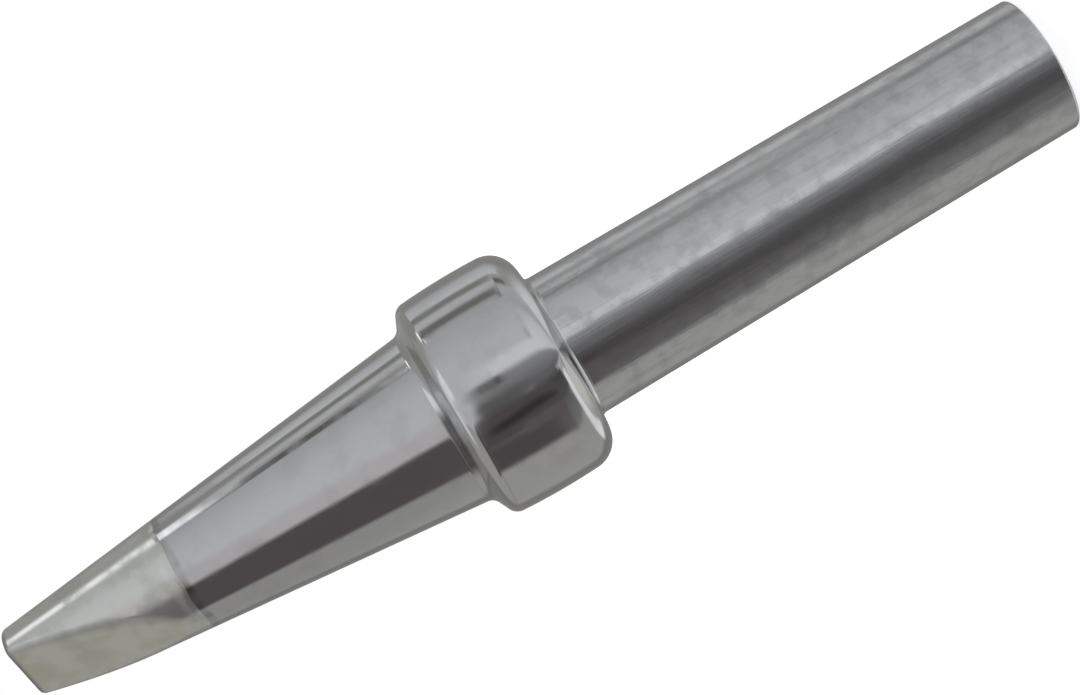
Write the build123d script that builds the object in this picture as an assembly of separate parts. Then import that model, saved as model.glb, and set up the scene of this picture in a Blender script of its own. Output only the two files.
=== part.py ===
"""A plated copper soldering tip, turned from one bar, standing on its shank with its nose up.

The origin is the centre of the shank's open end, and +Z runs along the axis to the working end.
The flat on the working end faces -Y.
"""

import math
import os

from build123d import *

# Driving dimensions, in millimetres and degrees

# Shank, which slides into the barrel of the iron and narrows a little towards its end
SHANK_LENGTH = 23.5
SHANK_ROOT_DIAMETER = 6.5
SHANK_END_DIAMETER = 6.16
SHANK_END_ROUNDING = 0.15
SHANK_ROOT_FILLET = 0.25

# Collar, with sides that belly out a little between its back corner and its front corner
COLLAR_LENGTH = 5.2
COLLAR_DIAMETER = 10.18
COLLAR_BELLY = 0.11
COLLAR_BACK_ROUNDING = 1.3
COLLAR_FRONT_ROUNDING = 0.6
SHOULDER_SLOPE = 65.0

# Nose, a cone from the foot of the shoulder to the blunt end
NOSE_LENGTH = 20.45
NOSE_ROOT_DIAMETER = 7.93
NOSE_END_DIAMETER = 3.54
NOSE_ROOT_FILLET = 0.5
NOSE_END_ROUNDING = 0.12

# Working flat, ground across the end of the nose
FLAT_SLOPE = 17.8
FLAT_FROM_AXIS = 0.2
FLAT_EDGE_ROUNDING = 0.05

# Heater bore, drilled from the shank's end
BORE_DIAMETER = 4.2
BORE_DEPTH = 28.5
DRILL_POINT_ANGLE = 118.0
BORE_MOUTH_CHAMFER = 0.25

# The most of a step's height that each rounding on it may take, where the step is a shallow one
LEDGE_SHARE = 0.9
SHOULDER_EDGE_SHARE = 0.6
SHOULDER_FOOT_SHARE = 0.5

# Places that follow from the driving dimensions
shank_root_radius = SHANK_ROOT_DIAMETER / 2
collar_side_radius = COLLAR_DIAMETER / 2 - COLLAR_BELLY
nose_root_radius = NOSE_ROOT_DIAMETER / 2
nose_end_radius = NOSE_END_DIAMETER / 2
shoulder_height = collar_side_radius - nose_root_radius
shoulder_run = shoulder_height / math.tan(math.radians(SHOULDER_SLOPE))
collar_back_z = SHANK_LENGTH
collar_front_z = collar_back_z + COLLAR_LENGTH
nose_root_z = collar_front_z + shoulder_run
nose_end_z = nose_root_z + NOSE_LENGTH

# Roundings, each limited by the step that it lies on
ledge_height = collar_side_radius - shank_root_radius - SHANK_ROOT_FILLET
collar_back_rounding = min(COLLAR_BACK_ROUNDING, LEDGE_SHARE * ledge_height)
collar_front_rounding = min(COLLAR_FRONT_ROUNDING, SHOULDER_EDGE_SHARE * shoulder_height)
nose_root_fillet = min(NOSE_ROOT_FILLET, SHOULDER_FOOT_SHARE * shoulder_height)


def round_corner(section, point, radius):
    """Round the corner of a flat outline that lies at a point, given as radius and height."""
    place = Vector(point[0], 0, point[1])
    corner = section.vertices().sort_by_distance(place)[0]
    return fillet(corner, radius)


def turned_section():
    """Return the half section of the turned bar, from the axis out, in the XZ plane."""
    shank_end = (SHANK_END_DIAMETER / 2, 0)
    shank_root = (shank_root_radius, collar_back_z)
    collar_back = (collar_side_radius, collar_back_z)
    collar_middle = (COLLAR_DIAMETER / 2, (collar_back_z + collar_front_z) / 2)
    collar_front = (collar_side_radius, collar_front_z)
    nose_root = (nose_root_radius, nose_root_z)
    nose_end = (nose_end_radius, nose_end_z)

    with BuildSketch(Plane.XZ) as section:
        with BuildLine():
            Polyline((0, 0), shank_end, shank_root, collar_back)
            ThreePointArc(collar_back, collar_middle, collar_front)
            Polyline(collar_front, nose_root, nose_end, (0, nose_end_z), (0, 0))
        make_face()
    face = section.sketch
    face = round_corner(face, shank_end, SHANK_END_ROUNDING)
    face = round_corner(face, shank_root, SHANK_ROOT_FILLET)
    face = round_corner(face, collar_back, collar_back_rounding)
    face = round_corner(face, collar_front, collar_front_rounding)
    face = round_corner(face, nose_root, nose_root_fillet)
    return round_corner(face, nose_end, NOSE_END_ROUNDING)


def turned_bar():
    """Return the bar as it leaves the lathe, before it is drilled and ground."""
    return revolve(turned_section(), axis=Axis.Z)


def drilled_hole():
    """Return the space that the drill and the mouth's chamfer take out of the shank."""
    radius = BORE_DIAMETER / 2
    mouth_radius = radius + BORE_MOUTH_CHAMFER
    point_height = radius / math.tan(math.radians(DRILL_POINT_ANGLE / 2))
    with BuildSketch(Plane.XZ) as section:
        with BuildLine():
            Polyline(
                (0, 0),
                (mouth_radius, 0),
                (radius, BORE_MOUTH_CHAMFER),
                (radius, BORE_DEPTH),
                (0, BORE_DEPTH + point_height),
                close=True,
            )
        make_face()
    return revolve(section.sketch, axis=Axis.Z)


def ground_away():
    """Return the block of metal that grinding the working flat takes off the nose."""
    size = 2 * NOSE_LENGTH
    flat_centre = Location((0, -FLAT_FROM_AXIS, nose_end_z), (-FLAT_SLOPE, 0, 0))
    return flat_centre * Pos(0, -size / 2, 0) * Box(size, size, size)


def flat_border(tip):
    """Return the edges all round the ground flat, the only plane face that doesn't lie level."""
    plane_faces = tip.faces().filter_by(GeomType.PLANE)
    steepest = min(plane_faces, key=lambda face: abs(face.normal_at().Z))
    return steepest.edges()


def soldering_tip():
    """Return the finished tip."""
    tip = turned_bar() - drilled_hole() - ground_away()
    return fillet(flat_border(tip), FLAT_EDGE_ROUNDING)


def main():
    """Build the tip and write it as a STEP file."""
    os.makedirs("parts", exist_ok=True)
    tip = soldering_tip()
    export_step(tip, "parts/soldering_tip.step")
    print("soldering_tip: volume %.1f mm3, height %.2f mm" % (tip.volume, tip.bounding_box().size.Z))


main()
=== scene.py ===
"""A plated soldering tip, standing on its shank on a plain pale studio floor.

The tip is one turned piece: a satin shank with a blind heater bore, a bright bellied collar, and a
bright conical nose with one flat ground across its tinned working end. Sizes are in millimetres in
the classes and become metres as the meshes are made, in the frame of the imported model.
"""

import logging
import math
from contextlib import contextmanager
from dataclasses import dataclass, field
from enum import Enum
from typing import Callable, Iterator, Optional, Sequence, Union

import bmesh
import bpy
from mathutils import Matrix, Vector


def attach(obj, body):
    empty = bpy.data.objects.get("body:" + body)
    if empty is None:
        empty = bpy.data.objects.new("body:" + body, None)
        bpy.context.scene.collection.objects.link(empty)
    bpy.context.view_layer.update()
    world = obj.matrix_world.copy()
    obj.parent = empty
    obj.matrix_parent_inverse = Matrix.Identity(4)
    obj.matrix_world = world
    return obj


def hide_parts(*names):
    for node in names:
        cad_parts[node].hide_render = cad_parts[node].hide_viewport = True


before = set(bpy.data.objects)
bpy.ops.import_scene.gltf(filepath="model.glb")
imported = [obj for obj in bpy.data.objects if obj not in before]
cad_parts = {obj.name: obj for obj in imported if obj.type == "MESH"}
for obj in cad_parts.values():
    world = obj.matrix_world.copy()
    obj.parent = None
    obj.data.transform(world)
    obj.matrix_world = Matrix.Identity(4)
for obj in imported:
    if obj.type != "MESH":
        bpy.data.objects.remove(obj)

LOG = logging.getLogger("tip")
MM = 0.001

# Two directions count as the same where their dot product is above SAME_WAY. The others are in mm:
# the gaps that close at a seam, at a cutting plane and after a cut, and how far a face may lie off
# its place and still count as there.
SAME_WAY = 0.9999
SEAM_GAP = 0.0005
PLANE_GAP = 0.0001
CUT_GAP = 0.002
SLACK = 0.01

Colour = tuple[float, float, float]
Place = tuple[float, float, float]
Point = tuple[float, float]
Span = tuple[float, float]
Socket = bpy.types.NodeSocket
Source = Union[float, Sequence[float], Socket]


# Bench work


def only(piece: bpy.types.Object) -> None:
    """Select one piece and nothing else, and make it the active one.

    Args:
        piece: The object that the next operators act on.
    """
    bpy.ops.object.select_all(action="DESELECT")
    piece.select_set(True)
    bpy.context.view_layer.objects.active = piece


@contextmanager
def editing(piece: bpy.types.Object) -> Iterator[None]:
    """Open a piece in edit mode for the length of a with block.

    Args:
        piece: The mesh object to open.
    """
    only(piece)
    bpy.ops.object.mode_set(mode="EDIT")
    yield
    bpy.ops.object.mode_set(mode="OBJECT")


def pick_faces(piece: bpy.types.Object, wanted: Callable[[bmesh.types.BMFace], bool]) -> int:
    """Select the faces of an open piece that pass a test, and no others.

    Args:
        piece: The object that is open in edit mode.
        wanted: Says of a face, by its place or normal, whether to select it.

    Returns:
        How many faces are selected.
    """
    bpy.ops.mesh.select_mode(type="FACE")
    bpy.ops.mesh.select_all(action="DESELECT")
    mesh = bmesh.from_edit_mesh(piece.data)
    for face in mesh.faces:
        face.select_set(wanted(face))
    bmesh.update_edit_mesh(piece.data)
    return sum(face.select for face in mesh.faces)


def pick_edges(piece: bpy.types.Object, wanted: Callable[[bmesh.types.BMEdge], bool]) -> int:
    """Select the edges of an open piece that pass a test, and no others.

    Args:
        piece: The object that is open in edit mode.
        wanted: Says of an edge, by its place and faces, whether to select it.

    Returns:
        How many edges are selected.
    """
    bpy.ops.mesh.select_mode(type="EDGE")
    bpy.ops.mesh.select_all(action="DESELECT")
    mesh = bmesh.from_edit_mesh(piece.data)
    chosen = [edge for edge in mesh.edges if wanted(edge)]
    for edge in chosen:
        edge.select_set(True)
    bmesh.update_edit_mesh(piece.data)
    return len(chosen)


class OutlinePen:
    """Draws an outline in the XZ plane, each vertex pulled or spun out of the last one."""

    def __init__(self, name: str, start: Point) -> None:
        """Put down the first vertex.

        Args:
            name: The new object's name.
            start: Radius and height of the first vertex, in mm.
        """
        bpy.ops.object.select_all(action="DESELECT")
        bpy.ops.mesh.primitive_circle_add(vertices=3, radius=MM)
        self.piece: bpy.types.Object = bpy.context.object
        self.piece.name = self.piece.data.name = name
        bpy.ops.object.mode_set(mode="EDIT")
        bpy.ops.mesh.select_mode(type="VERT")
        bpy.ops.mesh.select_all(action="SELECT")
        bpy.ops.mesh.merge(type="CENTER")
        bpy.ops.transform.translate(value=(start[0] * MM, 0, start[1] * MM))
        self.place = start

    def line_to(self, end: Point) -> None:
        """Pull the last vertex out to a new place.

        Args:
            end: Radius and height of the new vertex, in mm.
        """
        step = ((end[0] - self.place[0]) * MM, 0, (end[1] - self.place[1]) * MM)
        bpy.ops.mesh.extrude_vertices_move(TRANSFORM_OT_translate={"value": step})
        self.place = end

    def arc_to(self, end: Point, centre: Point, steps: int) -> None:
        """Spin the last vertex round a centre, the short way, to a new place.

        Args:
            end: Radius and height of the arc's end, in mm.
            centre: Radius and height of the arc's centre, in mm.
            steps: How many edges the arc has.
        """
        before = math.atan2(self.place[1] - centre[1], self.place[0] - centre[0])
        after = math.atan2(end[1] - centre[1], end[0] - centre[0])
        turn = math.remainder(after - before, math.tau)
        middle = (centre[0] * MM, 0, centre[1] * MM)
        bpy.ops.mesh.spin(steps=steps, angle=turn, center=middle, axis=(0, 1, 0))
        self.place = end

    def close(self) -> bpy.types.Object:
        """Leave edit mode and return the outline."""
        bpy.ops.object.mode_set(mode="OBJECT")
        return self.piece


# Node work


class NodeBoard:
    """Places nodes on one node tree and joins their sockets."""

    def __init__(self, tree: bpy.types.NodeTree) -> None:
        """Take up a node tree.

        Args:
            tree: The tree of a material, a world or a group.
        """
        self.tree = tree

    def node(self, kind: str, label: str = "", **settings: object) -> bpy.types.Node:
        """Place a node.

        Args:
            kind: The node's type name.
            label: What the node is for, in a few words.
            settings: Values for the node's own options.

        Returns:
            The new node.
        """
        new = self.tree.nodes.new(kind)
        new.label = label
        for name, value in settings.items():
            setattr(new, name, value)
        return new

    def feed(self, socket: Socket, source: Source) -> None:
        """Join a socket to another one, or set its value.

        Args:
            socket: The input to feed.
            source: An output to join to it, or the value that it gets.
        """
        if isinstance(source, Socket):
            self.tree.links.new(source, socket)
        elif socket.type == "RGBA" and len(source) == 3:
            socket.default_value = (*source, 1.0)
        else:
            socket.default_value = source

    def math(self, operation: str, *terms: Source, clamp: bool = False) -> Socket:
        """Work out a number.

        Args:
            operation: The name of the sum, such as ADD or MULTIPLY.
            terms: What it works on.
            clamp: Whether to keep the result between 0 and 1.

        Returns:
            The socket that holds the result.
        """
        new = self.node("ShaderNodeMath", operation=operation, use_clamp=clamp)
        for socket, term in zip(new.inputs, terms):
            self.feed(socket, term)
        return new.outputs[0]

    def ease(self, value: Source, low: Source, high: Source) -> Socket:
        """Return a number that rises smoothly from 0 at low to 1 at high.

        Args:
            value: The number that moves between the two.
            low: Where the rise starts.
            high: Where the rise ends.

        Returns:
            The socket that holds the eased number.
        """
        new = self.node("ShaderNodeMapRange", interpolation_type="SMOOTHSTEP")
        self.feed(new.inputs["Value"], value)
        self.feed(new.inputs["From Min"], low)
        self.feed(new.inputs["From Max"], high)
        return new.outputs["Result"]

    def blend(self, share: Source, first: Source, second: Source) -> Socket:
        """Mix two numbers.

        Args:
            share: How much of the second number there is, from 0 to 1.
            first: The number at share 0.
            second: The number at share 1.

        Returns:
            The socket that holds the mixed number.
        """
        new = self.node("ShaderNodeMix", data_type="FLOAT")
        for socket, source in zip((new.inputs[0], new.inputs[2], new.inputs[3]), (share, first, second)):
            self.feed(socket, source)
        return new.outputs[0]

    def tint(self, share: Source, first: Source, second: Source) -> Socket:
        """Mix two colours.

        Args:
            share: How much of the second colour there is, from 0 to 1.
            first: The colour at share 0.
            second: The colour at share 1.

        Returns:
            The socket that holds the mixed colour.
        """
        new = self.node("ShaderNodeMix", data_type="RGBA")
        for socket, source in zip((new.inputs[0], new.inputs[6], new.inputs[7]), (share, first, second)):
            self.feed(socket, source)
        return new.outputs[2]

    def rise(self, length: Source, span: Span) -> Socket:
        """Return a number that rises smoothly over a span of a length.

        Args:
            length: The length, in metres.
            span: Where the rise starts and where it ends, in mm.

        Returns:
            The socket that holds the eased number.
        """
        return self.ease(length, span[0] * MM, span[1] * MM)

    def rest_of(self, mask: Source) -> Socket:
        """Return what a mask leaves free."""
        return self.math("SUBTRACT", 1.0, mask)

    def add_shares(self, base: Source, *shares: tuple[Source, float]) -> Socket:
        """Add shares of several numbers to a base.

        Args:
            base: What there is without them.
            shares: Each number, and how much of it is added.

        Returns:
            The socket that holds the sum.
        """
        for value, share in shares:
            base = self.math("MULTIPLY_ADD", value, share, base)
        return base

    def object_place(self) -> Socket:
        """Return the object coordinates, in metres."""
        return self.node("ShaderNodeTexCoord").outputs["Object"]

    def parts(self, vector: Source) -> Sequence[Socket]:
        """Take a vector apart.

        Args:
            vector: The vector.

        Returns:
            The sockets that hold its X, Y and Z.
        """
        new = self.node("ShaderNodeSeparateXYZ")
        self.feed(new.inputs[0], vector)
        return new.outputs

    def along(self, place: Source, way: Sequence[float], label: str) -> Socket:
        """Measure how far a place lies along a direction.

        Args:
            place: The coordinates, in metres.
            way: The direction.
            label: What is measured.

        Returns:
            The socket that holds the distance, in metres.
        """
        new = self.node("ShaderNodeVectorMath", label, operation="DOT_PRODUCT")
        self.feed(new.inputs[0], place)
        new.inputs[1].default_value = way
        return new.outputs["Value"]

    def emboss(self, shader: bpy.types.Node, label: str, relief: Source) -> None:
        """Raise a shader's surface.

        Args:
            shader: The Principled shader.
            label: What stands up from the surface.
            relief: How far it stands up, in mm.
        """
        bump = self.node("ShaderNodeBump", label)
        bump.inputs["Strength"].default_value = 1.0
        bump.inputs["Distance"].default_value = MM
        self.feed(bump.inputs["Height"], relief)
        self.feed(shader.inputs["Normal"], bump.outputs[0])

    def noise(
        self, place: Source, scale: Source, detail: float = 2.0, rough: float = 0.5
    ) -> Socket:
        """Return a cloudy number between 0 and 1.

        Args:
            place: The coordinates, in metres.
            scale: How many clouds there are to a metre.
            detail: How many finer layers the clouds have.
            rough: How strong the finer layers are.

        Returns:
            The socket that holds the number.
        """
        new = self.node("ShaderNodeTexNoise", noise_dimensions="3D", normalize=True)
        self.feed(new.inputs["Vector"], place)
        self.feed(new.inputs["Scale"], scale)
        new.inputs["Detail"].default_value = detail
        new.inputs["Roughness"].default_value = rough
        return new.outputs["Fac"]


class Effect(Enum):
    """The node groups that more than one finish or studio card uses."""

    CARD = "studio_card"
    GRAIN = "fine_grain"
    CLOUDS = "handling_clouds"


class EffectShelf:
    """Makes each node group once and hands it out."""

    def __init__(self) -> None:
        """Start with an empty shelf."""
        self.groups: dict[Effect, bpy.types.NodeTree] = {}
        self.makers: dict[Effect, Callable[[], None]] = {
            Effect.CARD: self.make_card,
            Effect.GRAIN: self.make_grain,
            Effect.CLOUDS: self.make_clouds,
        }

    def start(
        self, effect: Effect, inputs: dict[str, float], outputs: Sequence[str]
    ) -> tuple[NodeBoard, bpy.types.NodeOutputs, bpy.types.NodeInputs]:
        """Open a new group.

        Args:
            effect: Which effect it is.
            inputs: Each input's name and first value. Place is a vector.
            outputs: The outputs' names.

        Returns:
            The board of the group, its inputs to read from, and its outputs to feed.
        """
        group = bpy.data.node_groups.new(effect.value, "ShaderNodeTree")
        self.groups[effect] = group
        for name, value in inputs.items():
            kind = "NodeSocketVector" if name == "Place" else "NodeSocketFloat"
            socket = group.interface.new_socket(name, in_out="INPUT", socket_type=kind)
            if kind == "NodeSocketFloat":
                socket.default_value = value
        for name in outputs:
            group.interface.new_socket(name, in_out="OUTPUT", socket_type="NodeSocketFloat")
        board = NodeBoard(group)
        return board, board.node("NodeGroupInput").outputs, board.node("NodeGroupOutput").inputs

    def use(self, board: NodeBoard, effect: Effect, label: str, **values: Source) -> bpy.types.NodeOutputs:
        """Place an effect on a board.

        Args:
            board: The board of the material or world.
            effect: Which effect to place.
            label: What it is there for.
            values: What feeds each input, with _ for a space in its name.

        Returns:
            The effect's outputs.
        """
        if effect not in self.groups:
            self.makers[effect]()
        new = board.node("ShaderNodeGroup", label)
        new.node_tree = self.groups[effect]
        for name, value in values.items():
            board.feed(new.inputs[name.replace("_", " ")], value)
        return new.outputs

    def make_card(self) -> None:
        """Make the group that says how much of a studio card stands in one direction."""
        names = ("Azimuth", "Elevation", "Left", "Right", "Low", "High", "Soft", "Fade", "Lean", "Tilt")
        board, given, result = self.start(Effect.CARD, dict.fromkeys(names, 0.0), ("Mask", "Across"))
        leant = board.math("MULTIPLY", given["Elevation"], given["Lean"])
        azimuth = board.math("SUBTRACT", given["Azimuth"], leant)
        along = board.math("SUBTRACT", azimuth, given["Left"])
        tilted = board.math("MULTIPLY", along, given["Tilt"])
        elevation = board.math("SUBTRACT", given["Elevation"], tilted)
        half_soft = board.math("MULTIPLY", given["Soft"], 0.5)
        half_fade = board.math("MULTIPLY", given["Fade"], 0.5)
        sides = (
            self.side(board, azimuth, given["Left"], half_soft),
            board.rest_of(self.side(board, azimuth, given["Right"], half_soft)),
            self.side(board, elevation, given["Low"], half_fade),
            board.rest_of(self.side(board, elevation, given["High"], half_fade)),
        )
        mask = sides[0]
        for other in sides[1:]:
            mask = board.math("MULTIPLY", mask, other)
        board.feed(result["Mask"], mask)
        width = board.math("SUBTRACT", given["Right"], given["Left"])
        board.feed(result["Across"], board.math("DIVIDE", along, width, clamp=True))

    @staticmethod
    def side(board: NodeBoard, angle: Source, edge: Source, half: Source) -> Socket:
        """Return a number that rises from 0 to 1 across one soft side of a card.

        Args:
            board: The card group's board.
            angle: The angle that crosses the side.
            edge: Where the side is.
            half: Half of how wide its softness is.

        Returns:
            The socket that holds the number.
        """
        return board.ease(angle, board.math("SUBTRACT", edge, half), board.math("ADD", edge, half))

    def make_grain(self) -> None:
        """Make the group of fine streaks, long ones along the axis or rings around it."""
        inputs = {"Place": 0.0, "Across": 9000.0, "Along": 250.0, "Contrast": 1.0}
        board, given, result = self.start(Effect.GRAIN, inputs, ("Streaks", "Fine"))
        join = board.node("ShaderNodeCombineXYZ")
        scales = (given["Across"], given["Across"], given["Along"])
        for socket, part, scale in zip(join.inputs, board.parts(given["Place"]), scales):
            board.feed(socket, board.math("MULTIPLY", part, scale))
        coarse = board.noise(join.outputs[0], scale=0.35, detail=3.0, rough=0.6)
        fine = board.noise(join.outputs[0], scale=1.6, rough=0.6)
        for name, tone in (("Streaks", coarse), ("Fine", fine)):
            off = board.math("SUBTRACT", tone, 0.5)
            spread = board.math("MULTIPLY", off, given["Contrast"])
            board.feed(result[name], board.math("ADD", spread, 0.5, clamp=True))

    def make_clouds(self) -> None:
        """Make the group of soft blotches and small specks that handling leaves."""
        inputs = {
            "Place": 0.0,
            "Scale": 900.0,
            "Start": 0.5,
            "Softness": 0.22,
            "Speck Scale": 3000.0,
            "Speck Size": 0.12,
        }
        board, given, result = self.start(Effect.CLOUDS, inputs, ("Blotches", "Specks"))
        clouds = board.noise(given["Place"], given["Scale"], detail=4.0, rough=0.55)
        end = board.math("ADD", given["Start"], given["Softness"])
        board.feed(result["Blotches"], board.ease(clouds, given["Start"], end))
        cells = board.node("ShaderNodeTexVoronoi", voronoi_dimensions="3D", feature="F1")
        board.feed(cells.inputs["Vector"], given["Place"])
        board.feed(cells.inputs["Scale"], given["Speck Scale"])
        near = board.ease(cells.outputs["Distance"], given["Speck Size"], 0.0)
        chance = board.ease(board.noise(given["Place"], scale=400.0, detail=1.0), 0.52, 0.62)
        board.feed(result["Specks"], board.math("MULTIPLY", near, chance))


# Finishes


@dataclass(frozen=True)
class Metal:
    """The constants of one metal surface, set on the shader itself."""

    name: str
    colour: Colour
    roughness: float

    def start(self) -> tuple[bpy.types.Material, NodeBoard, bpy.types.Node]:
        """Make the material and its metal shader.

        Returns:
            The material, its board and the Principled shader.
        """
        material = bpy.data.materials.new(self.name)
        material.use_nodes = True
        board = NodeBoard(material.node_tree)
        shader = material.node_tree.nodes["Principled BSDF"]
        shader.inputs["Base Color"].default_value = (*self.colour, 1.0)
        shader.inputs["Metallic"].default_value = 1.0
        shader.inputs["Roughness"].default_value = self.roughness
        return material, board, shader


@dataclass(frozen=True)
class Coat:
    """What one coat feeds to the shader where it shows. Its relief is in mm."""

    colour: Source
    roughness: Source
    relief: Source


@dataclass(frozen=True)
class GroundFlat:
    """The ground flat and the rounded ridge along it, told apart by their depth under the flat's plane.

    The place is in metres. The spans are in mm, each as where its mask starts and is full.
    """

    place: Vector
    facing: Vector
    flat_depth: Span = (-0.09, -0.01)
    ridge_depth: Span = (-0.36, -0.16)
    ridge_height: Span = (44.0, 45.4)

    def masks(self, board: NodeBoard, place: Source, height: Source) -> tuple[Socket, Socket]:
        """Work out where the flat and its ridge are.

        Args:
            board: The material's board.
            place: The object coordinates.
            height: Their height above the shank's end, in metres.

        Returns:
            The flat's mask and the ridge's mask.
        """
        reach = board.along(place, self.facing, "along the flat's facing")
        depth = board.math("SUBTRACT", reach, self.place.dot(self.facing))
        flat = board.rise(depth, self.flat_depth)
        near = board.math("MULTIPLY", board.rise(depth, self.ridge_depth), board.rest_of(flat))
        return flat, board.math("MULTIPLY", near, board.rise(height, self.ridge_height))


@dataclass(frozen=True)
class TinBorder:
    """The border of the tin, the scorched line under it and its raised rim. Lengths are in mm."""

    height: float = 41.85
    wander: float = 0.5
    softness: float = 0.04
    scorch_reach: Span = (-0.42, -0.2)
    scorch_least: float = 0.25
    scorch_patches: float = 0.65
    rim_start: float = -0.02
    rim_width: float = 0.18
    rim_relief: float = 0.012

    def masks(self, board: NodeBoard, place: Source, height: Source) -> tuple[Socket, Socket, Socket]:
        """Work out where the tin lies, the scorched line along it, and how its edge stands up.

        Args:
            board: The material's board.
            place: The object coordinates.
            height: Their height above the shank's end, in metres.

        Returns:
            The tin's mask, the scorched line's mask, and the rim's relief in mm.
        """
        drift = board.math("SUBTRACT", board.noise(place, scale=450.0), 0.5)
        level = board.math("MULTIPLY_ADD", height, 1 / MM, -self.height)
        level = board.math("MULTIPLY_ADD", drift, self.wander, level)
        tinned = board.ease(level, -self.softness, self.softness)
        line = board.math("MULTIPLY", board.ease(level, *self.scorch_reach), board.rest_of(tinned))
        patchy = board.ease(board.noise(place, scale=900.0, detail=1.0), 0.35, 0.6)
        burnt = board.math("MULTIPLY_ADD", patchy, self.scorch_patches, self.scorch_least)
        inside = board.ease(level, self.rim_start, self.rim_width)
        outside = board.ease(level, self.rim_width * 3, self.rim_width)
        rim = board.math("MULTIPLY", board.math("MULTIPLY", inside, outside), self.rim_relief)
        return tinned, board.math("MULTIPLY", line, burnt), rim


@dataclass(frozen=True)
class CornerShade:
    """Painted shade in the corner at the foot of the shoulder, on one side. Lengths are in mm."""

    # Colour of the painted shade, darker than the plate; the tin's end rim darkens to it as well
    colour: Colour = (0.09, 0.085, 0.085)
    corner: float = 29.22
    reach: Span = (0.25, 0.09)
    toward: Place = (-0.68, -0.74, 0.0)
    near_side: Span = (-0.7, 0.3)
    far_side: Span = (2.9, 2.2)

    def mask(self, board: NodeBoard, place: Source, height: Source) -> Socket:
        """Return the mask of the painted shade.

        Args:
            board: The material's board.
            place: The object coordinates.
            height: Their height above the shank's end, in metres.

        Returns:
            The socket that holds the mask.
        """
        off = board.math("ABSOLUTE", board.math("SUBTRACT", height, self.corner * MM))
        aside = board.along(place, self.toward, "toward the dirty side")
        side = board.math("MULTIPLY", board.rise(aside, self.near_side), board.rise(aside, self.far_side))
        patchy = board.math("MULTIPLY_ADD", board.noise(place, scale=700.0), 0.6, 0.5, clamp=True)
        near = board.math("MULTIPLY", board.rise(off, self.reach), patchy)
        return board.math("MULTIPLY", near, side)


@dataclass(frozen=True)
class Tin:
    """The grey tin of the working end, rubbed dull in patches, with painted shade along the flat's ridge
    and at the end's rim. Lengths are in mm.
    """

    bright: Colour = (0.68, 0.68, 0.655)
    dull: Colour = (0.585, 0.595, 0.55)
    ground_bright: Colour = (0.68, 0.685, 0.63)
    ground_dull: Colour = (0.61, 0.615, 0.53)
    edge_shade: Colour = (0.45, 0.45, 0.425)
    roughness: float = 0.19
    ground_roughness: float = 0.3
    ridge_roughness: float = 0.46
    dull_roughness: float = 0.09
    metallic: float = 0.88
    worn_end: Span = (49.3, 49.6)
    end_shade: float = 0.55
    lumps: float = 0.008

    def lay(
        self, board: NodeBoard, place: Source, height: Source, flat: GroundFlat, painted_shade: Colour
    ) -> Coat:
        """Lay the tin.

        Args:
            board: The material's board.
            place: The object coordinates.
            height: Their height above the shank's end, in metres.
            flat: Where the ground flat is.
            painted_shade: The colour of the painted shade that the rim of the end darkens to.

        Returns:
            The coat of tin.
        """
        ground, ridge = flat.masks(board, place, height)
        end = board.rise(height, self.worn_end)
        rubbed = board.ease(board.noise(place, scale=800.0, detail=3.0), 0.42, 0.64)
        # Painted shade in patches along the ridge of the flat and at the end's rim
        edge_shaded = board.noise(place, scale=1900.0, detail=1.0)
        edge_shaded = board.math("MULTIPLY_ADD", edge_shaded, 0.9, 0.05, clamp=True)
        edge_shaded = board.math("MULTIPLY", edge_shaded, board.math("MAXIMUM", ridge, end))
        colour = board.tint(
            ground,
            board.tint(rubbed, self.bright, self.dull),
            board.tint(rubbed, self.ground_bright, self.ground_dull),
        )
        # The ridge and the end's rim take the painted shade's colours
        colour = board.tint(edge_shaded, colour, self.edge_shade)
        colour = board.tint(board.math("MULTIPLY", end, self.end_shade), colour, painted_shade)
        rough = board.blend(ground, self.roughness, self.ground_roughness)
        rough = board.math("MULTIPLY_ADD", rubbed, self.dull_roughness, rough)
        relief = board.math("MULTIPLY", board.noise(place, scale=1000.0, detail=1.0), self.lumps)
        return Coat(colour, board.blend(ridge, rough, self.ridge_roughness), relief)


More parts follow.
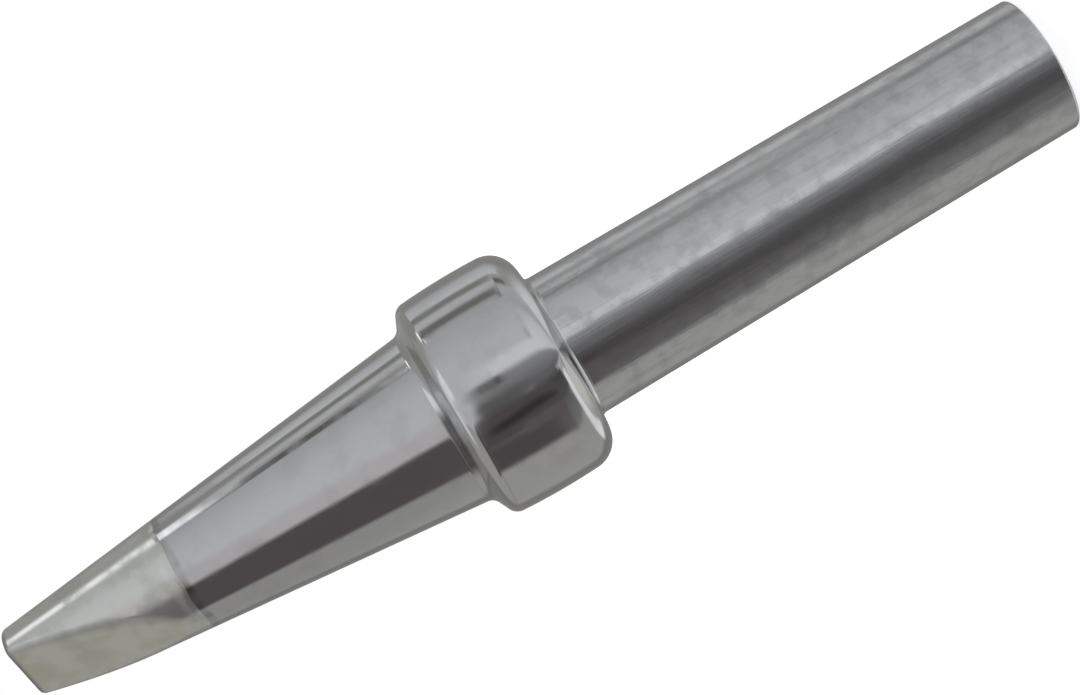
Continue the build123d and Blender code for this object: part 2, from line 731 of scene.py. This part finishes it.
@dataclass(frozen=True)
class BrightPlate:
    """Bright chromium plate, with tin over it at the working end."""

    metal: Metal = Metal("bright_plate", (0.58, 0.58, 0.585), 0.08)
    stain: Colour = (0.49, 0.48, 0.475)
    stain_share: float = 0.4
    scorch: Colour = (0.24, 0.232, 0.225)
    grain_roughness: float = 0.03
    speck_roughness: float = 0.12
    stain_roughness: float = 0.07
    shade_roughness: float = 0.35
    wave: float = 0.006
    # Painted shade in the corner at the foot of the shoulder, with the plate rougher under it
    painted_shade: CornerShade = CornerShade()
    border: TinBorder = TinBorder()
    tin: Tin = Tin()

    def make(self, shelf: EffectShelf, flat: GroundFlat) -> bpy.types.Material:
        """Make the material.

        Args:
            shelf: Where the shared effects come from.
            flat: Where the ground flat is.

        Returns:
            The material for the nose and the collar.
        """
        material, board, shader = self.metal.start()
        place = board.object_place()
        height = board.parts(place)[2]
        tinned, scorched, rim = self.border.masks(board, place, height)
        plate = self.plate(board, shelf, place, height, scorched)
        tin = self.tin.lay(board, place, height, flat, self.painted_shade.colour)
        board.feed(shader.inputs["Base Color"], board.tint(tinned, plate.colour, tin.colour))
        board.feed(shader.inputs["Metallic"], board.blend(tinned, 1.0, self.tin.metallic))
        board.feed(shader.inputs["Roughness"], board.blend(tinned, plate.roughness, tin.roughness))
        relief = board.math("ADD", board.blend(tinned, plate.relief, tin.relief), rim)
        board.emboss(shader, "plate and tin", relief)
        return material

    def plate(
        self, board: NodeBoard, shelf: EffectShelf, place: Source, height: Source, scorched: Source
    ) -> Coat:
        """Lay the bright plate with its stains, specks, turning marks and the painted shade in the corner.

        Args:
            board: The material's board.
            shelf: Where the shared effects come from.
            place: The object coordinates.
            height: Their height above the shank's end, in metres.
            scorched: The mask of the scorched line.

        Returns:
            The coat of plate.
        """
        clouds = shelf.use(board, Effect.CLOUDS, "handling", Place=place, Scale=700.0, Start=0.46)
        grain = shelf.use(
            board, Effect.GRAIN, "turning marks", Place=place, Across=250.0, Along=9000.0
        )
        # Painted shade in the corner, patchy and on one side only
        shadowed = self.painted_shade.mask(board, place, height)
        stained = board.math("MULTIPLY", clouds["Blotches"], self.stain_share)
        colour = board.tint(stained, self.metal.colour, self.stain)
        colour = board.tint(scorched, colour, self.scorch)
        rough = board.add_shares(
            self.metal.roughness - self.grain_roughness / 2,
            (grain["Streaks"], self.grain_roughness),
            (clouds["Specks"], self.speck_roughness),
            (clouds["Blotches"], self.stain_roughness),
            (shadowed, self.shade_roughness),
        )
        relief = board.math("MULTIPLY", board.noise(place, scale=600.0, detail=1.0), self.wave)
        # The plate in the corner is darkened to the painted shade's colour
        return Coat(board.tint(shadowed, colour, self.painted_shade.colour), rough, relief)


@dataclass(frozen=True)
class SatinPlate:
    """Satin plate with a faint grain along the shank. Reliefs are in mm."""

    metal: Metal = Metal("satin_plate", (0.61, 0.612, 0.617), 0.19)
    shade: Colour = (0.43, 0.43, 0.435)
    streak_shade: float = 0.35
    cloud_shade: float = 0.45
    grain_roughness: float = 0.12
    cloud_roughness: float = 0.06
    grain_relief: float = 0.006
    fine_relief: float = 0.0012
    dents: float = 0.009

    def make(self, shelf: EffectShelf) -> bpy.types.Material:
        """Make the material.

        Args:
            shelf: Where the shared effects come from.

        Returns:
            The material for the shank.
        """
        material, board, shader = self.metal.start()
        place = board.object_place()
        clouds = shelf.use(board, Effect.CLOUDS, "handling", Place=place, Scale=1100.0, Start=0.44)
        grain = shelf.use(
            board, Effect.GRAIN, "drawn grain", Place=place, Across=9000.0, Along=500.0, Contrast=1.6
        )
        streaks = board.math("MULTIPLY", board.ease(grain["Streaks"], 0.5, 0.85), self.streak_shade)
        shaded = board.math("MULTIPLY_ADD", clouds["Blotches"], self.cloud_shade, streaks, clamp=True)
        board.feed(shader.inputs["Base Color"], board.tint(shaded, self.metal.colour, self.shade))
        rough = board.add_shares(
            self.metal.roughness - self.grain_roughness / 2,
            (grain["Streaks"], self.grain_roughness),
            (clouds["Blotches"], self.cloud_roughness),
        )
        board.feed(shader.inputs["Roughness"], rough)
        relief = board.add_shares(
            0.0,
            (grain["Streaks"], self.grain_relief),
            (grain["Fine"], self.fine_relief),
            (board.noise(place, scale=900.0, detail=1.0), self.dents),
        )
        board.emboss(shader, "grain", relief)
        return material


@dataclass(frozen=True)
class BoreWall:
    """The drilled wall of the bore, dull and marked in rings by the drill. Its relief is in mm."""

    metal: Metal = Metal("bore_wall", (0.42, 0.36, 0.32), 0.42)
    soot: Colour = (0.2, 0.17, 0.15)
    ring_roughness: float = 0.2
    ring_relief: float = 0.01

    def make(self, shelf: EffectShelf) -> bpy.types.Material:
        """Make the material.

        Args:
            shelf: Where the shared effects come from.

        Returns:
            The material for the bore.
        """
        material, board, shader = self.metal.start()
        place = board.object_place()
        clouds = shelf.use(board, Effect.CLOUDS, "soot", Place=place, Scale=800.0, Start=0.4)
        grain = shelf.use(board, Effect.GRAIN, "drill rings", Place=place, Across=300.0, Along=12000.0)
        sooty = board.tint(clouds["Blotches"], self.metal.colour, self.soot)
        board.feed(shader.inputs["Base Color"], sooty)
        base = self.metal.roughness - self.ring_roughness / 2
        rough = board.add_shares(base, (grain["Streaks"], self.ring_roughness))
        board.feed(shader.inputs["Roughness"], rough)
        board.emboss(shader, "drill rings", board.math("MULTIPLY", grain["Streaks"], self.ring_relief))
        return material


# The tip


def between(start: Point, end: Point, reach: float) -> Point:
    """Return the point that lies a given distance from start on the way to end.

    Args:
        start: A point of the outline, in mm.
        end: The point that the way leads to, in mm.
        reach: The distance from start, in mm.

    Returns:
        Radius and height of the point, in mm.
    """
    share = reach / math.dist(start, end)
    return (start[0] + (end[0] - start[0]) * share, start[1] + (end[1] - start[1]) * share)


def rounded(pen: OutlinePen, corner: Point, after: Point, radius: float, steps: int) -> None:
    """Draw up to a corner and round it, ready to go on to the next one.

    Args:
        pen: The pen, standing at the point before the corner.
        corner: Radius and height of the sharp corner, in mm.
        after: The point that the outline goes on to, in mm.
        radius: The rounding's radius, in mm.
        steps: How many edges the rounding has.
    """
    way_in = (Vector(pen.place) - Vector(corner)).normalized()
    way_out = (Vector(after) - Vector(corner)).normalized()
    half = way_in.angle(way_out) / 2
    reach = radius / math.tan(half)
    middle = Vector(corner) + (way_in + way_out).normalized() * (radius / math.sin(half))
    pen.line_to(between(corner, pen.place, reach))
    pen.arc_to(between(corner, after, reach), (middle.x, middle.y), steps)


@dataclass
class TurnedTip:
    """The tip as one closed mesh: turned from an outline, drilled, and ground at its end.

    Lengths are in mm and angles in degrees. The fields that end in edges say how many straight
    edges stand for each arc of the outline, or for the curve of a rounding.
    """

    name: str = "soldering_tip_plated"
    shank_length: float = 23.5
    shank_root_radius: float = 3.25
    shank_end_radius: float = 3.08
    shank_end_rounding: float = 0.15
    shank_end_edges: int = 6
    shank_root_fillet: float = 0.25
    shank_root_edges: int = 8
    collar_length: float = 5.2
    collar_radius: float = 5.09
    collar_belly: float = 0.11
    collar_belly_edges: int = 32
    collar_back_rounding: float = 1.3
    collar_back_edges: int = 28
    collar_front_rounding: float = 0.6
    collar_front_edges: int = 20
    shoulder_slope: float = 65.0
    nose_length: float = 20.45
    nose_root_radius: float = 3.965
    nose_end_radius: float = 1.77
    nose_root_fillet: float = 0.5
    nose_root_edges: int = 16
    flat_slope: float = 17.0
    flat_from_axis: float = 0.43
    uncut_end: float = 2.0
    ridge_rounding: float = 0.36
    ridge_edges: int = 6
    rim_rounding: float = 0.3
    rim_edges: int = 6
    rim_start: float = 12.0
    rim_spacing: float = 0.08
    bore_radius: float = 2.1
    bore_depth: float = 28.5
    bore_mouth: float = 0.25
    drill_point: float = 118.0
    faces_around: int = 136
    crease_angle: float = 35.0
    piece: Optional[bpy.types.Object] = field(default=None, repr=False)

    @property
    def drill_cone(self) -> float:
        """Length of the drill's point, in mm."""
        return self.bore_radius / math.tan(math.radians(self.drill_point / 2))

    @property
    def collar_front(self) -> float:
        """Height of the collar's front corner, in mm."""
        return self.shank_length + self.collar_length

    @property
    def nose_root(self) -> float:
        """Height of the foot of the shoulder, where the nose starts, in mm."""
        step = self.collar_radius - self.collar_belly - self.nose_root_radius
        return self.collar_front + step / math.tan(math.radians(self.shoulder_slope))

    @property
    def nose_end(self) -> float:
        """Height of the working end's face, in mm."""
        return self.nose_root + self.nose_length

    def make(self) -> bpy.types.Object:
        """Build the whole tip.

        Returns:
            The finished mesh object, at the origin.
        """
        self.draw_outline()
        self.turn()
        self.grind_flat()
        self.cut_end()
        self.smooth()
        return self.piece

    def draw_outline(self) -> None:
        """Draw half a lengthwise section, from the drill's point round to the end, left too long."""
        pen = OutlinePen(self.name, (0.0, self.bore_depth + self.drill_cone))
        pen.line_to((self.bore_radius, self.bore_depth))
        pen.line_to((self.bore_radius, self.bore_mouth))
        pen.line_to((self.bore_radius + self.bore_mouth, 0.0))
        shank_end = (self.shank_end_radius, 0.0)
        shank_root = (self.shank_root_radius, self.shank_length)
        ledge_end = (self.collar_radius, self.shank_length)
        rounded(pen, shank_end, shank_root, self.shank_end_rounding, self.shank_end_edges)
        rounded(pen, shank_root, ledge_end, self.shank_root_fillet, self.shank_root_edges)
        self.draw_collar(pen)
        taper = (self.nose_root_radius - self.nose_end_radius) / self.nose_length
        pen.line_to((self.nose_end_radius - taper * self.uncut_end, self.nose_end + self.uncut_end))
        pen.line_to((0.0, self.nose_end + self.uncut_end))
        self.piece = pen.close()

    def draw_collar(self, pen: OutlinePen) -> None:
        """Draw the collar: back corner, belly, front corner, shoulder and the fillet at its foot.

        Args:
            pen: The pen, standing on the ledge behind the collar.
        """
        half = self.collar_length / 2
        belly_radius = (half**2 + self.collar_belly**2) / (2 * self.collar_belly)
        belly = Vector((self.collar_radius - belly_radius, self.shank_length + half))

        back = self.collar_back_rounding
        rise = self.shank_length + back - belly.y
        back_middle = Vector((belly.x + math.sqrt((belly_radius - back) ** 2 - rise**2), belly.y + rise))
        pen.line_to((back_middle.x, self.shank_length))
        back_end = belly + (back_middle - belly).normalized() * belly_radius
        pen.arc_to(tuple(back_end), tuple(back_middle), self.collar_back_edges)

        slope = math.radians(self.shoulder_slope)
        down = Vector((-math.sin(slope), math.cos(slope)))
        inward = Vector((-down.y, down.x))
        front = self.collar_front_rounding
        corner = Vector((self.collar_radius - self.collar_belly, self.collar_front))
        track = corner + inward * front - belly
        along = -track.dot(down) - math.sqrt(
            track.dot(down) ** 2 - track.length_squared + (belly_radius - front) ** 2
        )
        front_middle = belly + track + down * along
        front_start = belly + (front_middle - belly).normalized() * belly_radius
        pen.arc_to(tuple(front_start), tuple(belly), self.collar_belly_edges)
        front_end = front_middle - inward * front
        pen.arc_to(tuple(front_end), tuple(front_middle), self.collar_front_edges)
        foot = (self.nose_root_radius, self.nose_root)
        end = (self.nose_end_radius, self.nose_end)
        rounded(pen, foot, end, self.nose_root_fillet, self.nose_root_edges)

    def turn(self) -> None:
        """Spin the outline once round the axis and close the seam and both poles."""
        with editing(self.piece):
            bpy.ops.mesh.select_mode(type="VERT")
            bpy.ops.mesh.select_all(action="SELECT")
            bpy.ops.mesh.spin(
                steps=self.faces_around, angle=math.tau, center=(0, 0, 0), axis=(0, 0, 1)
            )
            bpy.ops.mesh.select_all(action="SELECT")
            bpy.ops.mesh.remove_doubles(threshold=SEAM_GAP * MM)
            bpy.ops.mesh.normals_make_consistent(inside=False)

    @property
    def flat_facing(self) -> Vector:
        """The way that the ground flat faces."""
        slope = math.radians(self.flat_slope)
        return Vector((0, -math.cos(slope), math.sin(slope)))

    @property
    def flat_place(self) -> Vector:
        """A point of the ground flat, in metres."""
        return Vector((0, -self.flat_from_axis, self.nose_end)) * MM

    def is_flat(self, face: bmesh.types.BMFace) -> bool:
        """Say whether a face is the ground flat, by its normal and its place."""
        off = (face.calc_center_median() - self.flat_place).dot(self.flat_facing)
        return face.normal.dot(self.flat_facing) > SAME_WAY and abs(off) < SLACK * MM

    def is_end(self, face: bmesh.types.BMFace) -> bool:
        """Say whether a face is the level face at the working end."""
        lowest = (self.nose_end - self.rim_rounding) * MM
        return face.normal.z > SAME_WAY and face.calc_center_median().z > lowest

    def cut(self, place: Vector, facing: Vector) -> None:
        """Cut the open mesh along a plane, drop what is beyond it and close the cut.

        Args:
            place: A point of the plane, in metres.
            facing: The way that the new face looks.
        """
        bpy.ops.mesh.select_all(action="SELECT")
        bpy.ops.mesh.bisect(
            plane_co=place,
            plane_no=facing,
            use_fill=True,
            clear_outer=True,
            threshold=PLANE_GAP * MM,
        )
        bpy.ops.mesh.select_all(action="SELECT")
        bpy.ops.mesh.remove_doubles(threshold=CUT_GAP * MM)
        bpy.ops.mesh.normals_make_consistent(inside=False)

    def grind_flat(self) -> None:
        """Cut the working flat across the nose and round the ridge along its border."""

        def ridge(edge: bmesh.types.BMEdge) -> bool:
            """Say whether an edge is between the flat and the cone."""
            flats = [self.is_flat(face) for face in edge.link_faces]
            return any(flats) and not all(flats)

        with editing(self.piece):
            self.cut(self.flat_place, self.flat_facing)
            count = pick_edges(self.piece, ridge)
            bpy.ops.mesh.bevel(
                offset=self.ridge_rounding * MM,
                segments=self.ridge_edges,
                affect="EDGES",
                clamp_overlap=False,
            )
        LOG.info("%d edges of the ridge are rounded", count)

    def cut_end(self) -> None:
        """Cut the nose a little short and raise the end face in steps that round its rim."""
        turn = (90 - self.rim_start) / self.rim_edges
        angles = [math.radians(self.rim_start + turn * step) for step in range(self.rim_edges + 1)]
        radius = self.rim_rounding * MM
        cut_height = self.nose_end * MM - radius * (1 - math.sin(angles[0]))
        with editing(self.piece):
            self.cut(Vector((0, 0, cut_height)), Vector((0, 0, 1)))
            pick_faces(self.piece, self.is_end)
            bpy.ops.mesh.remove_doubles(threshold=self.rim_spacing * MM)
            pick_faces(self.piece, self.is_end)
            for low, high in zip(angles, angles[1:]):
                bpy.ops.mesh.inset(
                    thickness=radius * (math.cos(low) - math.cos(high)),
                    depth=radius * (math.sin(high) - math.sin(low)),
                )
        LOG.info("the end is cut and its rim rounded")

    def smooth(self) -> None:
        """Shade the tip smooth, with its large faces keeping their own true normals."""
        only(self.piece)
        bpy.ops.object.shade_smooth_by_angle(angle=math.radians(self.crease_angle))
        weigh = self.piece.modifiers.new("true faces", "WEIGHTED_NORMAL")
        weigh.keep_sharp = True
        weigh.weight = 100
        bpy.ops.object.modifier_apply(modifier=weigh.name)

    def on_shank(self, face: bmesh.types.BMFace) -> bool:
        """Say whether a face is on the outside of the shank, its root fillet or its end.

        Args:
            face: A face of the finished tip.

        Returns:
            Whether it is satin plated.
        """
        middle = face.calc_center_median()
        inner = (self.bore_radius + SLACK) * MM
        outer = (self.shank_root_radius + self.shank_root_fillet + 2 * SLACK) * MM
        return middle.z < (self.shank_length + SLACK) * MM and inner < middle.xy.length < outer

    def in_bore(self, face: bmesh.types.BMFace) -> bool:
        """Say whether a face is on the bore's wall or on the cone that the drill's point left.

        Args:
            face: A face of the finished tip.

        Returns:
            Whether it is bare drilled metal.
        """
        middle = face.calc_center_median()
        top = (self.bore_depth + self.drill_cone + SLACK) * MM
        within = middle.xy.length < (self.bore_radius + SLACK) * MM
        return within and middle.z < top and face.normal.xy.dot(middle.xy) < 0

    def dress(self, shelf: EffectShelf) -> None:
        """Give the shank, the bore and the bright parts their finishes.

        Args:
            shelf: Where the shared effects come from.
        """
        bright = BrightPlate().make(shelf, GroundFlat(self.flat_place, self.flat_facing))
        for material in (bright, SatinPlate().make(shelf), BoreWall().make(shelf)):
            self.piece.data.materials.append(material)
        with editing(self.piece):
            for slot, wanted in ((1, self.on_shank), (2, self.in_bore)):
                count = pick_faces(self.piece, wanted)
                self.piece.active_material_index = slot
                bpy.ops.object.material_slot_assign()
                LOG.info("slot %d has %d faces", slot, count)


# Studio

# The side that the photograph shows, in degrees round from the one that the flat faces
PHOTO_SIDE = 47.5

LIGHT_TINT: Colour = (0.977, 1.0, 1.023)
DARK_TINT: Colour = (1.066, 0.948, 0.986)
DIM_TINT: Colour = (0.99, 0.995, 1.015)
WARM_TINT: Colour = (1.018, 0.985, 1.0)
ROOM_TINT: Colour = (1.018, 1.01, 0.972)


@dataclass(frozen=True)
class Card:
    """One light or dark card of the studio, as the metal mirrors it.

    Azimuths go round from the camera's own direction, elevations up from the level, both in
    degrees. The tone is the card's brightness at its left side, and far_tone, if it has one, at
    its right. Soft and fade say how wide its upright and its level sides blur. With a lean its
    upright sides slant, and with a tilt its level ones do.
    """

    name: str
    left: float
    right: float
    low: float
    high: float
    tone: float
    far_tone: Optional[float] = None
    soft: float = 4.0
    fade: float = 4.0
    lean: float = 0.0
    tilt: float = 0.0
    tint: Colour = ROOM_TINT

    def lay(
        self, board: NodeBoard, shelf: EffectShelf, azimuth: Source, elevation: Source, under: Source
    ) -> Socket:
        """Lay the card over what is there already.

        Args:
            board: The world's board.
            shelf: Where the card group comes from.
            azimuth: The direction's azimuth.
            elevation: The direction's elevation.
            under: The colour that the card covers.

        Returns:
            The colour with the card over it.
        """
        out = shelf.use(
            board,
            Effect.CARD,
            self.name,
            Azimuth=azimuth,
            Elevation=elevation,
            Left=self.left,
            Right=self.right,
            Low=self.low,
            High=self.high,
            Soft=self.soft,
            Fade=self.fade,
            Lean=self.lean,
            Tilt=self.tilt,
        )
        near = tuple(self.tone * part for part in self.tint)
        if self.far_tone is None:
            return board.tint(out["Mask"], under, near)
        far = tuple(self.far_tone * part for part in self.tint)
        return board.tint(out["Mask"], under, board.tint(out["Across"], near, far))


# From the first laid to the last, each over the ones before it
CARDS = (
    Card("left_floor", -200, -10, -110, -46, 0.80, 0.92, soft=10, fade=26, tint=LIGHT_TINT),
    Card("right_floor", 48, 200, -110, -54, 0.74, soft=10, fade=20),
    Card("far_strip", -140, -113, -24, 24, 0.46, 0.72, soft=5, fade=10, tint=LIGHT_TINT),
    Card("back_left", -200, -135, -34, 50, 0.24, 0.32, soft=14, fade=20),
    Card("far_slot", -112, -104, -5.5, 12.5, 0.27, soft=5, fade=4),
    Card("far_crease", -110, -103, -11, -5.5, 0.45, soft=5, fade=4),
    Card("near_strip", -102, -92, -20, 14, 0.62, soft=5, fade=8, tint=LIGHT_TINT),
    Card("shank_fill", -98, -66, -110, -9.5, 0.58, soft=6, fade=2, tint=LIGHT_TINT),
    Card("main_panel", -79, 22, -110, 110, 0.53, 0.69, soft=10, fade=4, tint=LIGHT_TINT),
    Card("panel_middle", -56, 4, -110, 110, 0.63, 0.715, soft=40, fade=4, tint=LIGHT_TINT),
    Card("panel_foot", -60, -8, -110, -27, 0.70, 0.88, soft=14, fade=14, tint=LIGHT_TINT),
    Card("warm_edge", 0, 24, 9, 34, 0.62, soft=12, fade=4, tint=WARM_TINT),
    Card("line_shade", -36, -22, -24, -10.5, 0.57, soft=6, fade=3, tint=LIGHT_TINT),
    Card("bright_line", -24, -10, -64, 3, 0.84, soft=7, fade=6, tint=LIGHT_TINT),
    Card("overhead", -49, -12, 27, 66, 1.0, soft=12, fade=8, tint=LIGHT_TINT),
    Card("top_light", -64, 74, 62, 82, 0.85, soft=24, fade=14, tint=LIGHT_TINT),
    Card("near_slot", -91, -82, -6, 6.5, 0.20, soft=5, fade=2),
    Card("nose_slot", -86, -76.5, 5.5, 14.5, 0.125, soft=5, fade=2),
    Card("shank_slot", -84, -76, -9.6, -6, 0.25, soft=5, fade=2),
    Card("slot_bend", 1, 10, -11.7, -9.2, 0.22, soft=5, fade=1, lean=9.3),
    Card("slot_end", -105, -96, -30, -11.4, 0.15, soft=5, fade=1),
    Card("tip_shade", -200, -99, 11.5, 44, 0.35, soft=5, fade=3),
    Card("near_glint", -96, -81, 14.4, 22, 1.55, soft=5, fade=1.6, tint=LIGHT_TINT),
    Card("nose_spot", -85, -78, 9.0, 9.75, 1.7, soft=4, fade=0.4, tint=LIGHT_TINT),
    Card("collar_spot", -81, -75, 6.6, 8.2, 1.5, soft=4, fade=1, tint=LIGHT_TINT),
    Card("right_wall", 76, 200, 7.5, 16.5, 0.385, soft=12, fade=4),
    Card("back_right", 138, 200, -34, 50, 0.25, soft=12, fade=20),
    Card("flank", -9, 15, -110, 5.4, 0.37, 0.15, soft=8, fade=2, tilt=0.067, tint=DIM_TINT),
    Card("flank_foot", 8, 22, -3, 6.0, 0.135, soft=8, fade=3, tilt=0.07, tint=DIM_TINT),
    Card("flank_side", 11, 22, -44, -3, 0.165, soft=8, fade=3, tint=DIM_TINT),
    Card("flank_corner", -9, -1, 0.2, 5.4, 0.08, soft=4, fade=2, tint=DARK_TINT),
    Card("dark_body", 18, 50, -14, 7.2, 0.10, soft=8, fade=2, tilt=0.067, tint=DARK_TINT),
    Card("dark_side", 49, 77, -10, 9, 0.10, soft=8, fade=2, tint=DARK_TINT),
    Card("dark_nose", 14, 70, 7.5, 25, 0.11, soft=8, fade=7, lean=0.75, tint=DARK_TINT),
    Card("dark_foot", 18, 46, -54, -8, 0.08, 0.13, soft=8, fade=8, tint=DIM_TINT),
    Card("dark_skirt", 43, 77, -46, -6, 0.16, 0.27, soft=6, fade=7, tint=DIM_TINT),
    Card("dark_line", 29, 37, -7, 6, 0.045, soft=6, fade=4, lean=0.45, tint=DARK_TINT),
    Card("shank_shade", 22, 30, -16, -5, 0.108, soft=6, fade=4, tint=DIM_TINT),
    Card("grey_fold", 42, 54, -10, 1, 0.14, soft=6, fade=3, tint=DARK_TINT),
    Card("bench_edge", 30, 145, -71.5, -57.5, 1.05, soft=8, fade=5, tilt=0.25, tint=LIGHT_TINT),
)


@dataclass(frozen=True)
class Studio:
    """The soft light round the object, and the white that the camera sees behind it."""

    room_tone: float = 0.435
    facing: float = PHOTO_SIDE
    cards: tuple[Card, ...] = CARDS

    def build(self, shelf: EffectShelf) -> None:
        """Make the world.

        Args:
            shelf: Where the card group comes from.
        """
        world = bpy.data.worlds.new("studio")
        bpy.context.scene.world = world
        world.use_nodes = True
        board = NodeBoard(world.node_tree)
        azimuth, elevation = self.angles(board)
        colour: Source = tuple(self.room_tone * part for part in ROOM_TINT)
        for card in self.cards:
            colour = card.lay(board, shelf, azimuth, elevation, colour)
        seen = board.node("ShaderNodeLightPath").outputs["Is Camera Ray"]
        shown = board.tint(seen, colour, (1.0, 1.0, 1.0))
        board.feed(world.node_tree.nodes["Background"].inputs["Color"], shown)

    def angles(self, board: NodeBoard) -> tuple[Socket, Socket]:
        """Work out a direction's azimuth and elevation.

        Args:
            board: The world's board.

        Returns:
            The azimuth from the camera's side and the elevation, in degrees.
        """
        turned = board.node("ShaderNodeVectorRotate", rotation_type="Z_AXIS")
        board.feed(turned.inputs["Vector"], board.node("ShaderNodeTexCoord").outputs["Generated"])
        turned.inputs["Angle"].default_value = math.radians(-self.facing)
        across, along, up = board.parts(turned.outputs[0])
        left = board.math("MULTIPLY", across, -1.0)
        near = board.math("MULTIPLY", along, -1.0)
        azimuth = board.math("DEGREES", board.math("ARCTAN2", left, near))
        return azimuth, board.math("DEGREES", board.math("ARCSINE", up))


@dataclass(frozen=True)
class Floor:
    """A plain white floor, which keeps the object's shadow. Sizes are in metres."""

    radius: float = 1.5
    sides: int = 96
    thickness: float = 0.004
    own_white: float = 0.6
    paint: float = 0.8
    roughness: float = 0.9

    def lay(self) -> bpy.types.Object:
        """Model the floor.

        Returns:
            The floor's object.
        """
        bpy.ops.object.select_all(action="DESELECT")
        bpy.ops.mesh.primitive_circle_add(vertices=self.sides, radius=self.radius, fill_type="NGON")
        floor = bpy.context.object
        floor.name = "floor"
        with editing(floor):
            bpy.ops.mesh.select_all(action="SELECT")
            down = {"value": (0, 0, -self.thickness)}
            bpy.ops.mesh.extrude_region_move(TRANSFORM_OT_translate=down)
            bpy.ops.mesh.select_all(action="SELECT")
            bpy.ops.mesh.normals_make_consistent(inside=False)
        floor.data.materials.append(self.finish())
        floor.visible_glossy = False
        return floor

    def finish(self) -> bpy.types.Material:
        """Make the floor's paint: white to the camera, with the shadow left on it.

        Returns:
            The floor's material.
        """
        material = bpy.data.materials.new("floor_paint")
        material.use_nodes = True
        board = NodeBoard(material.node_tree)
        shader = material.node_tree.nodes["Principled BSDF"]
        shader.inputs["Base Color"].default_value = (self.paint, self.paint, self.paint, 1.0)
        shader.inputs["Roughness"].default_value = self.roughness
        shader.inputs["Specular IOR Level"].default_value = 0.0
        shader.inputs["Emission Color"].default_value = (1.0, 1.0, 1.0, 1.0)
        seen = board.node("ShaderNodeLightPath").outputs["Is Camera Ray"]
        board.feed(shader.inputs["Emission Strength"], board.math("MULTIPLY", seen, self.own_white))
        return material


@dataclass(frozen=True)
class SoftLamp:
    """One large soft lamp. Lengths are in metres, power in watts."""

    name: str
    place: Place
    size: float
    power: float
    aim: Place = (0.0, 0.0, 0.02)

    def hang(self) -> bpy.types.Object:
        """Hang the lamp and aim it at the object.

        Returns:
            The lamp's object.
        """
        bpy.ops.object.light_add(type="AREA", location=self.place)
        lamp = bpy.context.object
        lamp.name = self.name
        lamp.data.shape = "DISK"
        lamp.data.size = self.size
        lamp.data.energy = self.power
        lamp.visible_glossy = False
        way = Vector(self.aim) - Vector(self.place)
        lamp.rotation_mode = "QUATERNION"
        lamp.rotation_quaternion = way.to_track_quat("-Z", "Y")
        return lamp


@dataclass(frozen=True)
class PhotoCamera:
    """The camera, at the photograph's viewing angle.

    Lengths are in mm and angles in degrees, but what it sees is bounded in metres. With its lean
    it is turned about its own axis, so that the standing tip lies slanted in the picture.
    """

    azimuth: float = PHOTO_SIDE
    elevation: float = 2.2
    lean: float = 30.725
    distance: float = 115.19
    aim_height: float = 24.288
    aim_aside: float = 0.486
    lens: float = 91.67
    sensor: float = 36.0
    nearest: float = 0.01
    farthest: float = 20.0

    def place(self) -> bpy.types.Object:
        """Put the camera in the scene.

        Returns:
            The camera object.
        """
        azimuth, elevation, lean = map(math.radians, (self.azimuth, self.elevation, self.lean))
        aside = Vector((math.cos(azimuth), math.sin(azimuth), 0))
        level = Vector((math.sin(azimuth), -math.cos(azimuth), 0))
        back = level * math.cos(elevation) + Vector((0, 0, math.sin(elevation)))
        upright = back.cross(aside)
        across = -math.cos(lean) * upright - math.sin(lean) * aside
        up = -math.sin(lean) * upright + math.cos(lean) * aside
        aim = Vector((0, 0, self.aim_height)) * MM + aside * self.aim_aside * MM
        bpy.ops.object.camera_add(location=aim + back * self.distance * MM)
        camera = bpy.context.object
        camera.name = "photo_camera"
        camera.rotation_mode = "QUATERNION"
        turned = Matrix((across, up, back)).transposed()
        camera.rotation_quaternion = turned.to_quaternion()
        camera.data.lens = self.lens
        camera.data.sensor_width = self.sensor
        camera.data.clip_start = self.nearest
        camera.data.clip_end = self.farthest
        bpy.context.scene.camera = camera
        return camera


def main() -> None:
    """Build the tip and its studio, and report each piece."""
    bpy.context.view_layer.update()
    shelf = EffectShelf()
    tip = TurnedTip()
    piece = tip.make()
    tip.dress(shelf)
    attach(piece, "root")
    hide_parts("soldering_tip")
    LOG.info("%s: %d faces", piece.name, len(piece.data.polygons))

    floor = Floor().lay()
    LOG.info("%s laid", floor.name)
    Studio().build(shelf)
    lamp = SoftLamp("soft_lamp", place=(-0.35, 0.3, 0.7), size=0.6, power=2.0).hang()
    LOG.info("%s hung", lamp.name)
    PhotoCamera().place()
    bpy.context.scene.view_settings.view_transform = "Standard"


if __name__ == "__main__":
    logging.basicConfig(level=logging.INFO, format="%(name)s: %(message)s")
    main()
